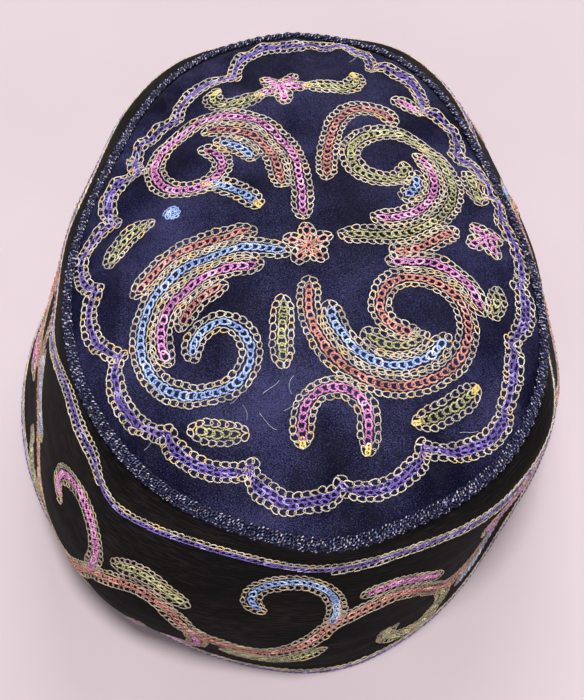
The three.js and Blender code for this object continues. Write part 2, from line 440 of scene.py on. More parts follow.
closed_round = np.linspace(-BAND_ROUND / 2, BAND_ROUND / 2, LINE_POINTS, endpoint=False)
shoulder_line = np.stack([closed_round, shoulder_height(band_turn(closed_round))], -1)
rim_line = np.stack([closed_round, np.full(closed_round.shape, RIM_LINE)], -1)
print("band:", round(BAND_ROUND), "mm round")

# %% [markdown]
# ## A running scroll
# The band's own ornament is a running scroll, the oldest filler for a strip: a stem in even waves, with
# a curl that leaves it at each turn and fills the hollow of the wave, and a leaf on the other side. One
# wave is worked out from how many fit round the cap and how steeply the stem leans, and a loop repeats
# it. A slow wobble keeps it from looking ruled, and whole numbers of wobbles let the two ends meet.

# %% A running scroll
WAVES_ROUND = 8
STEM_LEVEL = 33.0
STEM_LEAN = 60.0
CURL_LEAVES_AT = 4.0
CURL = [(15, 1.6, 3.6), (22, 3.8, 5.8), (15, 6.6, 11.0)]
LEAF_AWAY = 6.4
LEAF_SHARES = (0.36, 0.86)
# unevenness by hand, up and along: mm, how often it comes round the cap, and where it starts
HAND_RISES = [(1.3, 3, 1), (1.0, 11, 0), (0.6, 23, 2)]
HAND_DRIFTS = [(1.4, 7, 0.5)]
# the colours of the curl and the leaf of each half wave
CURL_COLOURS = [
    ("olive", "pink"), ("pink", "blue"), ("coral", "olive"), ("coral", "pink"),
    ("olive", "blue"), ("pink", "coral"), ("pink", "olive"), ("blue", "olive"),
]


def by_hand(line):
    """The same line with the slow unevenness of a drawing made by hand."""
    round_share = 2 * np.pi * line[:, 0] / BAND_ROUND
    rise, drift = (
        sum(size * np.sin(times * round_share + start) for size, times, start in table)
        for table in (HAND_RISES, HAND_DRIFTS)
    )
    return line + np.stack([drift, rise], -1)


def running_scroll():
    """The stem as one closed line, and the curls and leaves as lines with their colours."""
    chord = BAND_ROUND / WAVES_ROUND / 2
    radius = chord / 2 / math.sin(math.radians(STEM_LEAN))
    bend = math.degrees(1 / radius)
    arc = 2 * math.radians(STEM_LEAN) * radius
    stem, strokes = [], []
    for half_wave in range(2 * WAVES_ROUND):
        side = 1 if half_wave % 2 == 0 else -1
        x = -BAND_ROUND / 2 + half_wave * chord
        wave = walk(x, STEM_LEVEL, side * STEM_LEAN, (arc, -side * bend, -side * bend))
        stem.append(wave[:-1])
        stretches = [(length, -side * first, -side * last) for length, first, last in CURL]
        curl = walk(x + chord, STEM_LEVEL, -side * STEM_LEAN, *stretches)
        curl_colour, leaf_colour = CURL_COLOURS[half_wave % len(CURL_COLOURS)]
        strokes.append((curl_colour, by_hand(curl[round(CURL_LEAVES_AT / WALK_STEP):])))
        start, end = (round(share * len(wave)) for share in LEAF_SHARES)
        leaf = sideways(wave, side * LEAF_AWAY)[start:end]
        strokes.append((leaf_colour, by_hand(spaced(leaf, WALK_STEP)[0])))
    return by_hand(np.concatenate(stem)), strokes


stem_line, band_strokes = running_scroll()
print("curls and leaves:", len(band_strokes), "on a stem up from", np.round(stem_line[:, 1].min()), "mm")

# %% [markdown]
# ## Stroke outlines
# Each scroll has a coloured core between two rows of old gold chain that meet in a point at each end.
# The outlines are the walk's own line moved sideways, with the distance eased to nothing at the ends.

# %% Stroke outlines
OUTLINE_AWAY = 2.2
TIP_LENGTH = 3.6
CORE_SHORT = 2.0
# a petal starts a little off the middle, its core stops some points early, and its outline bulges
PETAL_START = 0.12
PETAL_POINTS = 20
PETAL_SHORT = 4
PETAL_AWAY = 1.9
PETAL_ROUNDNESS = 0.6


def stroke_lines(line):
    """The core and the two outlines of a stroke, from its middle line on the flat cloth."""
    along = np.arange(len(line)) * WALK_STEP
    from_end = np.minimum(along, along[-1] - along)
    away = OUTLINE_AWAY * np.sqrt(np.clip(from_end / TIP_LENGTH, 0, 1))
    short = round(CORE_SHORT / WALK_STEP)
    return line[short:-short], sideways(line, away), sideways(line, -away)


def gather(strokes):
    """The cores of each colour and all the gold outlines of a set of coloured lines."""
    cores, gold = {}, []
    for colour, line in strokes:
        core, left, right = stroke_lines(line)
        cores.setdefault(colour, []).append(core)
        gold += [left, right]
    return cores, gold


def flower_lines(x, y, petals, length, first):
    """Petals as short walks from the flower's middle, with an outline down either side."""
    cores, gold = [], []
    for k in range(petals):
        tip = np.array([x, y]) + length * toward(first + 360 / petals * k)
        s = np.linspace(PETAL_START, 1, PETAL_POINTS)[:, None]
        core = np.array([x, y]) * (1 - s) + tip * s
        cores.append(core[:-PETAL_SHORT])
        bulge = PETAL_AWAY * np.sin(np.pi * np.clip(s[:, 0], 0, 1)) ** PETAL_ROUNDNESS
        gold += [sideways(core, bulge), sideways(core, -bulge)]
    return cores, gold


print("a petal's outline bulges by", PETAL_AWAY, "mm")

# %% The panel's design
crown_strokes = [(row[0], walk(*row[1:])) for row in CROWN_STROKES]
for colour, scroll, left, start, end in CROWN_COMPANIONS:
    beside = sideways(crown_strokes[scroll][1], left)[round(start / WALK_STEP):round(end / WALK_STEP)]
    crown_strokes.append((colour, spaced(beside, WALK_STEP)[0]))
crown_cores, crown_gold = gather(crown_strokes)
crown_tips = []
for stroke in TIPPED_STROKES:
    line = crown_strokes[stroke][1]
    crown_tips += [line[-TIP_POINTS:], line[TIP_POINTS - 1::-1]]
turns = np.linspace(0, 2 * ROSETTE_TURNS * np.pi, ROSETTE_POINTS)
reach = np.interp(turns, [0, turns[-1]], ROSETTE_REACHES)
spiral = np.stack([np.cos(turns), np.sin(turns)], -1) * reach[:, None]
rosette = spaced(np.array(ROSETTE_PLACE) + spiral, WALK_STEP)[0]
for colour, *petals in CROWN_FLOWERS:
    petal_cores, petal_gold = flower_lines(*petals)
    crown_cores[colour] += petal_cores
    crown_gold += petal_gold
band_cores, band_gold = gather(band_strokes)
print("crown colours:", {c: len(v) for c, v in crown_cores.items()}, "gold lines:", len(crown_gold))

# %% [markdown]
# ## Cloth that puckers
# Stitching draws cloth down along its lines and lets it puff up between them, and an eased seam leaves
# small tucks. A cloth simulation could find such puckers, but they would differ with every change. Here
# they are sums of a few waves, plus a groove whose depth falls off with the distance to the nearest
# stitch. A tree of the stitches' places makes that distance quick to find.

# %% Smooth unevenness
# how many waves make an unevenness, their sizes as shares of its length, and what brings it to about 1
WAVE_COUNT = 9
WAVE_SIZES = (0.7, 1.5)
WAVE_SCALE = 1.4


def waves(u, v, length, seed):
    """A smooth unevenness between about -1 and 1, with bumps of roughly the given length."""
    draw = np.random.default_rng(seed)
    total = np.zeros(np.broadcast(u, v).shape)
    for _ in range(WAVE_COUNT):
        way = draw.uniform(0, 2 * np.pi)
        phase = draw.uniform(0, 2 * np.pi)
        k = 2 * np.pi / (length * draw.uniform(*WAVE_SIZES))
        total = total + np.sin(k * (u * math.cos(way) + v * math.sin(way)) + phase)
    return total / math.sqrt(WAVE_COUNT) / WAVE_SCALE


sample = waves(np.arange(100.0), np.zeros(100), length=20, seed=1)
print("unevenness runs from", round(float(sample.min()), 2), "to", round(float(sample.max()), 2))

# %% Grooves along the stitches
from mathutils.kdtree import KDTree

GROOVE_DEPTH = 0.45
GROOVE_WIDTH = 2.6
GRID_STEP = 0.8
STATION_EVERY = 3
# just over one, which keeps the last place of a map inside its last cell
LAST_CELL = 1.001
# from and to in mm of the two maps of grooves
CROWN_X, CROWN_Y, BAND_UP = (-66, 70), (-96, 80), (-2, 84)


def groove_map(lines, u_range, v_range):
    """A function that says how near a place is to the needlework: 1 on a line, falling to 0 beside it."""
    stations = np.concatenate([line[::STATION_EVERY] for line in lines])
    tree = KDTree(len(stations))
    for k, (u, v) in enumerate(stations):
        tree.insert((u, v, 0), k)
    tree.balance()
    us, vs = np.arange(*u_range, GRID_STEP), np.arange(*v_range, GRID_STEP)
    away = np.array([[tree.find((u, v, 0))[2] for v in vs] for u in us])
    f = np.exp(-((away / GROOVE_WIDTH) ** 2))
    print("grooves mapped on", f.size, "places")

    def near(u, v):
        """Blends the four values of the map that lie around a place."""
        i = np.clip((u - us[0]) / (us[1] - us[0]), 0, len(us) - LAST_CELL)
        j = np.clip((v - vs[0]) / (vs[1] - vs[0]), 0, len(vs) - LAST_CELL)
        a, b = i.astype(int), j.astype(int)
        s, t = i - a, j - b
        low_side = f[a, b] * (1 - t) + f[a, b + 1] * t
        return low_side * (1 - s) + (f[a + 1, b] * (1 - t) + f[a + 1, b + 1] * t) * s

    return near


half_round = BAND_ROUND / 2
crown_lines = [scallop] + [core for cores in crown_cores.values() for core in cores]
band_lines = [shoulder_line, rim_line, stem_line] + [core for cores in band_cores.values() for core in cores]
crown_groove = groove_map(crown_lines, CROWN_X, CROWN_Y)
band_groove = groove_map(band_lines, (-half_round, half_round + 1), BAND_UP)

# %% [markdown]
# ## The two cloth surfaces
# With the outline, the puckers and the grooves in hand, each cloth is one function from a flat place to
# a place in space. Its facing comes from two nearby places, and every stitch is laid with the two.

# %% The panel's surface
# tucks at the seam: how many, their height in mm, how far they drift, and their steady and uneven shares
TUCKS_ROUND = 46
TUCK_HEIGHT = 1.25
TUCK_DRIFT = 2.2
TUCK_SHARES = (0.6, 0.4)
# shares of the way to the seam: where tucks and puff begin, and over how much they grow or fade
TUCKS_FROM, TUCKS_GROW, SEAM_FADE = 0.8, 0.12, 0.06
PUFF_FROM, PUFF_REACH, PUFF_HEIGHT = 0.86, 0.14, 0.9
# the panel's lumps, each with height and length in mm and a seed
CROWN_LUMPS = [(0.9, 26, 1), (0.5, 11, 2)]
# the height of the creases in mm, and how much narrower than long they are
CREASE_HEIGHT = 0.5
CREASE_SQUEEZE = 2.2


def on_crown(place):
    """Places in space, in mm, of places on the flat top panel."""
    x, y = place[..., 0], place[..., 1]
    share = to_seam(x, y)[0]
    bearing = np.arctan2(y - CROWN_MIDDLE[1], x - CROWN_MIDDLE[0])
    seam_fade = np.clip((1.0 - share) / SEAM_FADE, 0, 1)
    edge = np.clip((share - TUCKS_FROM) / TUCKS_GROW, 0, 1) * seam_fade
    steady, uneven = TUCK_SHARES
    drift = TUCK_DRIFT * waves(x, y, length=34, seed=5)
    tucks = TUCK_HEIGHT * np.sin(TUCKS_ROUND * bearing + drift)
    tucks = tucks * (steady + uneven * waves(x, y, length=22, seed=8))
    puff = PUFF_HEIGHT * np.sin(np.pi * np.clip((share - PUFF_FROM) / PUFF_REACH, 0, 1))
    lumps = sum(height * waves(x, y, length, seed) for height, length, seed in CROWN_LUMPS)
    creases = CREASE_HEIGHT * np.maximum(waves(x * CREASE_SQUEEZE, y, length=24, seed=3), 0) ** 2
    z = crown_plain(x, y) + (lumps + creases) * seam_fade + tucks * edge + puff
    z = z - GROOVE_DEPTH * crown_groove(x, y) * seam_fade
    return np.stack([x, y, z], -1)


print("the panel's middle, mm:", np.round(on_crown(CROWN_MIDDLE[None]), 1)[0])

# %% The band's surface
TURN_STEP = 1e-3
FACING_STEP = 0.2
# the band's slow swells and low rolls in mm, and its grooves as a share of the panel's
BAND_SWELL = 0.8
BAND_ROLL = 0.28
BAND_GROOVE = 0.8
# shares of the height over which the unevenness grows from the hem and fades at the seam, and its least
HEM_GROW, HEM_LEAST, TOP_FADE = 0.1, 0.15, 0.08
# swells are read from a pattern round a tube of this radius and rise in mm, and rolls from one on a
# strip of this rise and this share of the length, up to this share of the height
SWELL_RADIUS, SWELL_RISE = 90, 60
ROLL_RISE, ROLL_LENGTH, ROLLS_END = 80, 0.25, 1.2


def outward(turn, up):
    """The level way out of the band, which is square to its outline."""
    along = band_plain(turn + TURN_STEP, up) - band_plain(turn - TURN_STEP, up)
    return unit(np.stack([along[..., 1], -along[..., 0], np.zeros(turn.shape)], -1))


def on_band(place):
    """Places in space, in mm, of places on the flat band: across from the back's middle, and up."""
    across, up = place[..., 0], place[..., 1] / BAND_HEIGHT
    turn = band_turn(across)
    wrapped = (across + half_round) % BAND_ROUND - half_round
    ends = np.clip(up / HEM_GROW, HEM_LEAST, 1) * np.clip((1 - up) / TOP_FADE, 0, 1)
    swell_x, swell_y = np.cos(turn) * SWELL_RADIUS, np.sin(turn) * SWELL_RADIUS + up * SWELL_RISE
    swell = BAND_SWELL * waves(swell_x, swell_y, length=46, seed=11)
    spin = turn * RIM_WIDTH / 2 * ROLL_LENGTH
    roll = BAND_ROLL * waves(spin, up * ROLL_RISE, length=9, seed=12) * np.clip(ROLLS_END - up, 0, 1)
    groove = BAND_GROOVE * GROOVE_DEPTH * band_groove(wrapped, up * BAND_HEIGHT)
    depth = (swell + roll) * ends - groove * ends
    return band_plain(turn, up) + outward(turn, up) * depth[..., None]


def facing(on, place):
    """The way a cloth faces at places on it."""
    u, v = np.array([FACING_STEP, 0.0]), np.array([0.0, FACING_STEP])
    return unit(np.cross(on(place + u) - on(place - u), on(place + v) - on(place - v)))


print("middle of the back at the rim, mm:", np.round(on_band(np.array([[0.0, 0.0]])), 1)[0])

# %% [markdown]
# ## Making meshes from arrays
# A chain stitch is small, and there are thousands, so adding them as objects or with modifiers would be
# slow. Blender takes whole arrays of corners at once, which is quick and gives plain meshes. A second
# pair of coordinates on each corner, the length along the thread and the part of the way round it, lets
# the material draw the twist of the yarn.

# %% Making meshes from arrays
def add_piece(name, points, quads, material, replaced=(), twist=None, shade=None):
    """An object from arrays in mm. It rides on the cap's one body."""
    mesh = bpy.data.meshes.new(name)
    mesh.vertices.add(len(points))
    mesh.vertices.foreach_set("co", (points * MM).astype(np.float32).ravel())
    mesh.loops.add(quads.size)
    mesh.loops.foreach_set("vertex_index", quads.astype(np.int32).ravel())
    mesh.polygons.add(len(quads))
    mesh.polygons.foreach_set("loop_start", np.arange(0, quads.size, 4, dtype=np.int32))
    mesh.polygons.foreach_set("use_smooth", np.full(len(quads), True))
    if twist is not None:
        mesh.uv_layers.new(name="twist")
        mesh.uv_layers["twist"].data.foreach_set("uv", twist.astype(np.float32).ravel())
    if shade is not None:
        mesh.attributes.new("shade", "FLOAT", "POINT")
        mesh.attributes["shade"].data.foreach_set("value", shade.astype(np.float32))
    mesh.update()
    mesh.validate()
    mesh.materials.append(material)
    piece = bpy.data.objects.new(name, mesh)
    bpy.context.scene.collection.objects.link(piece)
    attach(piece, "root")
    for node in replaced:
        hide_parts(node)
    print(name, "has", 2 * len(quads), "triangles")


def skin_quads(rows, steps):
    """Corners of the quads between closed rings of points, where the last ring meets the first."""
    row, step = np.meshgrid(np.arange(rows), np.arange(steps), indexing="ij")
    next_row, next_step = (row + 1) % rows, (step + 1) % steps
    corners = [(row, step), (row, next_step), (next_row, next_step), (next_row, step)]
    return np.stack([r * steps + s for r, s in corners], -1).reshape(-1, 4)

# %% [markdown]
# ## Materials
# Every finish here is thread of some kind. Woven cloth is a base colour with a fine pattern of lighter
# threads, a bump from the same pattern and a little sheen for the fuzz. Patterns come from procedural
# textures, so they stay sharp at any distance. The helper below keeps the node work short.

# %% A helper for materials
class Nodes:
    """A new material with its principled shader, and short ways to add and join nodes."""

    def __init__(self, name):
        self.material = bpy.data.materials.new(name)
        self.material.use_nodes = True
        self.tree = self.material.node_tree
        self.shader = next(n for n in self.tree.nodes if n.type == "BSDF_PRINCIPLED")

    def add(self, kind, **settings):
        """A new node, with its own settings and its inputs set by name."""
        node = self.tree.nodes.new("ShaderNode" + kind)
        for key, value in settings.items():
            if hasattr(node, key):
                setattr(node, key, value)
            else:
                self.set(node, key, value)
        return node

    def set(self, node, key, value):
        """Sets the input whose name is the key with spaces, in any letter case."""
        wanted = key.replace("_", " ")
        next(i for i in node.inputs if i.name.lower() == wanted).default_value = value

    def join(self, source, target):
        self.tree.links.new(source, target)

    def math(self, operation, first, second=None):
        """A sum on one or two sources or numbers."""
        node = self.add("Math", operation=operation)
        for socket, value in zip(node.inputs, (first, second)):
            if value is None:
                continue
            if isinstance(value, (int, float)):
                socket.default_value = value
            else:
                self.join(value, socket)
        return node.outputs[0]

    def total(self, *shares):
        """The sum of several sources, each times its share."""
        first, *others = [self.math("MULTIPLY", source, share) for source, share in shares]
        for other in others:
            first = self.math("ADD", first, other)
        return first

    def coordinates(self, scale=(1, 1, 1), turn=0.0):
        """The piece's own coordinates, scaled, and turned about the vertical."""
        mapping = self.add("Mapping")
        mapping.inputs["Scale"].default_value = scale
        mapping.inputs["Rotation"].default_value = (0, 0, turn)
        self.join(self.add("TexCoord").outputs["Object"], mapping.inputs["Vector"])
        return mapping.outputs[0]

    def thread_places(self):
        """The length along a thread in mm, and the part of the way round it."""
        parts = self.add("SeparateXYZ")
        self.join(self.add("UVMap", uv_map="twist").outputs[0], parts.inputs[0])
        return parts.outputs[0], parts.outputs[1]

    def noise(self, vector, scale, detail=2.0):
        node = self.add("TexNoise", scale=scale, detail=detail)
        self.join(vector, node.inputs["Vector"])
        return node.outputs["Fac"]

    def ramp(self, factor, *stops):
        """A colour ramp from (place, colour) stops."""
        node = self.add("ValToRGB")
        elements = node.color_ramp.elements
        while len(elements) < len(stops):
            elements.new(0.5)
        for element, (place, colour) in zip(elements, stops):
            element.position = place
            element.color = (*colour, 1)
        self.join(factor, node.inputs["Fac"])
        return node.outputs["Color"]

    def blend(self, mask, first, second):
        """The first colour where the mask is black and the second where it is white."""
        mix = self.add("Mix", data_type="RGBA")
        for k, source in ((0, mask), (6, first), (7, second)):
            self.join(source, mix.inputs[k])
        return mix.outputs[2]

    def bump(self, height, strength, distance):
        node = self.add("Bump", strength=strength, distance=distance)
        self.join(height, node.inputs["Height"])
        self.join(node.outputs["Normal"], self.shader.inputs["Normal"])

    def colour(self, source):
        self.join(source, self.shader.inputs["Base Color"])

    def finish(self, **values):
        for key, value in values.items():
            self.set(self.shader, key, value)
        return self.material


print("a material's helper can:", ", ".join(n for n in vars(Nodes) if not n.startswith("_")))

# %% Woven cloth
# how many slow lighter and darker patches there are to a metre of cloth
CLOTH_PATCH_SCALE = 45


def cloth_material(name, dark, middle, light, thread_mm, stretch, slant, bump, **values):
    """Woven cloth: fine floats stretched along the thread's way, over slow lighter and darker patches."""
    nodes = Nodes(name)
    weave = nodes.noise(nodes.coordinates(stretch, slant), 1 / (thread_mm * MM), 1.0)
    slow_patches = nodes.noise(nodes.coordinates(), CLOTH_PATCH_SCALE, 3.0)
    mixed = nodes.total((weave, 0.70), (slow_patches, 0.45))
    nodes.colour(nodes.ramp(mixed, (0.46, dark), (0.575, middle), (0.735, light)))
    nodes.bump(weave, bump, thread_mm * MM)
    return nodes.finish(**values)


crown_cloth = cloth_material(
    "navy_sateen", (0.0009, 0.0009, 0.005), (0.0033, 0.0032, 0.017), (0.035, 0.036, 0.100),
    0.2, (0.55, 1, 1), math.radians(52), 0.6,
    roughness=0.6, specular_ior_level=0.06, sheen_weight=0.01, sheen_roughness=0.5,
    sheen_tint=(0.4, 0.45, 0.8, 1),
)
band_cloth = cloth_material(
    "black_ribbed_cotton", (0.0008, 0.0007, 0.0007), (0.0018, 0.0015, 0.0015), (0.012, 0.009, 0.009),
    0.5, (0.12, 0.12, 1), 0.0, 0.5,
    roughness=0.85, specular_ior_level=0.08, sheen_weight=0.01, sheen_roughness=0.6,
    sheen_tint=(0.7, 0.6, 0.6, 1),
)
print("cloths:", crown_cloth.name, band_cloth.name)

# %% [markdown]
# ## The top panel
# The panel is a closed shell: a fine top with all its puckers, and a plain underside. Rows of points
# run round it, closest together near the seam, where the cloth bends most.

# %% The top panel
CROWN_STEPS = 400
CROWN_ROWS = 84
UNDER_ROWS = 12
# the innermost ring, as a share of the way to the seam
FIRST_SHARE = 0.012


def crown_piece():
    """The panel, from the middle of its underside out to the seam and back over its top."""
    bearings = np.linspace(0, 2 * np.pi, CROWN_STEPS, endpoint=False)
    way = np.stack([np.cos(bearings), np.sin(bearings)], -1)
    reach = np.array([to_seam(*(CROWN_MIDDLE + w))[2] for w in way])[:, None] * way
    shares = np.sin(np.linspace(FIRST_SHARE, 1, CROWN_ROWS) * np.pi / 2)
    over = [on_crown(CROWN_MIDDLE + reach * share) for share in shares]
    under = []
    for share in np.linspace(FIRST_SHARE, 1, UNDER_ROWS):
        place = CROWN_MIDDLE + reach * share
        height = crown_plain(place[:, 0], place[:, 1]) - CROWN_WALL
        under.append(np.column_stack([place, height]))
    points = np.concatenate(under + over[::-1])
    quads = skin_quads(UNDER_ROWS + CROWN_ROWS, CROWN_STEPS)
    add_piece("crown_cloth", points, quads, crown_cloth, ["crown"])


crown_piece()

# %% [markdown]
# ## The side band
# The band is a shell too, from the rim up its outside to the seam and down its inside. Its hem is a
# fold of cloth, so the lower edge is rounded over.

# %% The side band
BAND_STEPS = 520
BAND_OUTER_ROWS = 56
BAND_INNER_ROWS = 10
HEM_ROWS = 5
HEM_DEPTH = 0.98
# the lowest place, in mm over the rim, where the band's facing is read
FACES_ABOVE = 1.0


def band_piece():
    """The band, up its outside, down its inside and round the fold of its hem."""
    across = np.linspace(-half_round, half_round, BAND_STEPS, endpoint=False)
    top = BAND_HEIGHT - SEAM_STEP
    hem = BAND_WALL / 2

    def ring(up, inset):
        place = np.stack([across, np.full(across.shape, up)], -1)
        level = band_plain(band_turn(across), up / BAND_HEIGHT) if inset > hem else on_band(place)
        way = facing(on_band, np.stack([across, np.full(across.shape, max(up, FACES_ABOVE))], -1))
        way[:, 2] = 0
        return level - unit(way) * inset

    outer = [ring(up, 0.0) for up in np.linspace(hem, top, BAND_OUTER_ROWS)]
    inner = [ring(up, BAND_WALL) for up in np.linspace(top, hem, BAND_INNER_ROWS)]
    fold = []
    for angle in np.linspace(0, np.pi, HEM_ROWS + 2)[1:-1]:
        row = ring(hem, hem * (1 + math.cos(angle)))
        row[:, 2] -= hem * math.sin(angle) * HEM_DEPTH
        fold.append(row)
    rows = outer + inner + fold
    quads = skin_quads(len(rows), BAND_STEPS)
    add_piece("band_cloth", np.concatenate(rows), quads, band_cloth, ["band"])


band_piece()

# %% [markdown]
# ## Threads
# A thread is a thin tube along a line. All the tubes of one kind are made at once: an array of closed
# loops of points, and the way the cloth faces at each point, which keeps the tubes from rolling over.

# %% Threads
def thread_tubes(centres, faces_up, radius, sides):
    """Points, quads and twist coordinates of closed loops of thread. centres is loops by points by 3."""
    loops, count = centres.shape[:2]
    ahead = unit(np.roll(centres, -1, 1) - np.roll(centres, 1, 1))
    side = unit(np.cross(ahead, faces_up))
    up = np.cross(side, ahead)
    s = np.arange(sides)
    angle = s * 2 * np.pi / sides
    ring = np.cos(angle)[:, None] * up[:, :, None] + np.sin(angle)[:, None] * side[:, :, None]
    points = (centres[:, :, None] + radius * ring).reshape(-1, 3)
    quads = skin_quads(count, sides) + np.arange(loops)[:, None, None] * count * sides
    run = np.linalg.norm(np.roll(centres, -1, 1) - centres, axis=-1)[..., None]
    start = np.cumsum(run, 1) - run
    start, end, around, on_around = np.broadcast_arrays(start, start + run, s / sides, (s + 1) / sides)
    twist = np.stack([start, around, start, on_around, end, on_around, end, around], -1)
    return points, quads.reshape(-1, 4), twist.reshape(-1, 2)


print("a tube of 3 sides and 5 points has", len(skin_quads(5, 3)), "quads")

# %% Coloured and gold thread
# plies in a thread and the depth between them in m, then how fine the fuzz, which paints glints, and the odd
# stretches, partly painted sheen, are
PLIES = 2.0
PLY_DEPTH = 0.00012
FUZZ_AND_GLINT_SCALE = 2200
ODD_AND_SHEEN_SCALE = 420


def thread_material(name, dark, light, odd_and_sheen, twist_mm, **values):
    """Twisted yarn: plies in painted shade and highlight, a tint for each stitch, and odd stretches, partly
    painted sheen.
    """
    nodes = Nodes(name)
    length, around = nodes.thread_places()
    # the plies' sine paints shade in the grooves between plies and a highlight on their crowns
    turns = nodes.math("ADD", nodes.math("DIVIDE", length, twist_mm), nodes.math("MULTIPLY", around, PLIES))
    ply = nodes.math("ABSOLUTE", nodes.math("SINE", nodes.math("MULTIPLY", turns, math.pi)))
    # fine noise for the fuzz, which also paints tiny glints
    fuzz_and_glints = nodes.noise(nodes.coordinates(), FUZZ_AND_GLINT_SCALE, 1.0)
    shade = nodes.add("Attribute", attribute_name="shade").outputs["Fac"]
    mixed = nodes.total((ply, 0.36), (fuzz_and_glints, 0.40), (shade, 0.24))
    # odd stretches: for gold a yellower yarn with painted sparkle, for the silks a paler colour that is
    # painted sheen
    odd_and_sheen_spots = nodes.total((shade, 0.35), (nodes.noise(nodes.coordinates(), ODD_AND_SHEEN_SCALE, 0.0), 1.0))
    # each ramp runs from the painted shade between plies up to a painted highlight colour, the second one up
    # to the odd colour
    nodes.colour(nodes.blend(
        nodes.ramp(odd_and_sheen_spots, (0.80, (0, 0, 0)), (0.90, (1, 1, 1))),
        nodes.ramp(mixed, (0.30, dark), (0.68, light)),
        nodes.ramp(mixed, (0.30, dark), (0.68, odd_and_sheen)),
    ))
    nodes.bump(ply, 0.9, PLY_DEPTH)
    return nodes.finish(**values)


# the finishes of silk, of gold, of the band's darker gold and of satin, with the mm of thread to one turn of
# its plies
SILK = {"twist_mm": 0.7, "roughness": 0.36, "specular_ior_level": 0.6}
GOLD = {"twist_mm": 0.5, "roughness": 0.34, "metallic": 0.15}
BAND_GOLD_FINISH = {"twist_mm": 0.5, "roughness": 0.4, "metallic": 0.25}
SATIN = {"twist_mm": 0.5, "roughness": 0.34}
# each thread's colour and name, its darkest (painted shade between the plies), its lightest (painted
# highlight), its odd colour (partly painted sheen), and its finish
THREAD_TABLE = [
    ("gold", "old_gold_thread", (0.035, 0.024, 0.014), (0.95, 0.85, 0.69), (1.0, 0.72, 0.34), GOLD),
    # a darker copy of the gold for the band's scroll: painted shade on the band's side
    ("shaded_gold", "shaded_gold_thread", (0.03, 0.022, 0.016), (0.74, 0.62, 0.48), (0.85, 0.62, 0.30), BAND_GOLD_FINISH),
    ("yellow", "yellow_gold_thread", (0.25, 0.12, 0.02), (1.0, 0.74, 0.20), (1.0, 0.85, 0.5), SATIN),
    ("purple", "violet_thread", (0.004, 0.003, 0.022), (0.215, 0.133, 0.57), (0.54, 0.46, 0.90), SILK),
    ("pink", "pink_thread", (0.07, 0.008, 0.05), (0.92, 0.34, 0.74), (1.0, 0.62, 0.86), SILK),
    ("coral", "coral_thread", (0.05, 0.012, 0.012), (0.76, 0.32, 0.26), (0.90, 0.52, 0.44), SILK),
    ("olive", "olive_thread", (0.03, 0.028, 0.008), (0.60, 0.58, 0.29), (0.82, 0.80, 0.46), SILK),
    ("blue", "light_blue_thread", (0.02, 0.035, 0.15), (0.42, 0.60, 1.0), (0.78, 0.86, 1.0), SILK),
]
THREADS = {colour: thread_material(*row, **finish) for colour, *row, finish in THREAD_TABLE}
print("threads:", ", ".join(THREADS))

# %% [markdown]
# ## Chain stitch
# One link is a pear-shaped loop. Its narrow end comes up inside the link before it, crosses over that
# link's round end and spreads into two legs. A row is the same loop again and again along a line, each
# a little larger, smaller or askew, because a hand made it. Gold links are thin and open. The coloured
# ones are made with thicker thread, so they close up into a solid row.

# %% Chain stitch
LINK_POINTS = 10
THREAD_SIDES = 4
# the step from a closed line's start to the same place one round later, on the panel and on the flat band
IN_PLACE = np.zeros(2)
ROUND_BAND = np.array([BAND_ROUND, 0])
# the sizes of each kind of link in mm
GOLD_LINK = {"pitch": 2.0, "length": 2.5, "width": 1.45, "thread": 0.3}
CORE_LINK = {"pitch": 1.95, "length": 2.65, "width": 1.7, "thread": 0.52}
NARROW_LINK = {"pitch": 1.85, "length": 2.45, "width": 1.25, "thread": 0.4}
TIP_LINK = {"pitch": 1.3, "length": 2.0, "width": 1.1, "thread": 0.5}
KNOT_LINK = {"pitch": 1.2, "length": 1.7, "width": 0.9, "thread": 0.36}
RIM_GOLD_LINK = {"pitch": 2.0, "length": 2.5, "width": 1.8, "thread": 0.34}
RIM_LINK = {"pitch": 1.7, "length": 2.1, "width": 0.85, "thread": 0.36}

print("the tube of one link has", LINK_POINTS * THREAD_SIDES, "small faces")

# %% One link, and how a hand varies it
# how a hand varies its stitches: turned and moved aside by about so many radians and mm, and the ranges
# of their length and width as shares, and of their height in threads
ASKEW = 0.09
ASIDE = 0.09
LONG_RANGE = (0.9, 1.14)
WIDE_RANGE = (0.84, 1.2)
LIFT_RANGE = (-0.08, 0.12)
# how much narrower a link's start is than its end, how high its legs rise where they cross the link
# before it, with the place and reach of that in radians from the start, and how far its tip dips
PEAR = 0.35
RISE, RISE_AT, RISE_REACH = 0.95, 0.75, 0.45
DIP, DIP_WITHIN = 0.35, 0.1


def link_shape():
    """One link: places along and across the row, as shares of its size, and heights in threads."""
    a = np.arange(LINK_POINTS) * 2 * np.pi / LINK_POINTS
    along = -0.5 * np.cos(a)
    across = 0.5 * np.sin(a) * (1 - PEAR * np.cos(a))
    near_start = np.minimum(a, 2 * np.pi - a)
    rise = RISE * np.exp(-(((near_start - RISE_AT) / RISE_REACH) ** 2))
    height = 0.5 + rise - DIP * (near_start < DIP_WITHIN)
    return along, across, height


print("a link's highest place, in threads:", round(float(link_shape()[2].max()), 2))

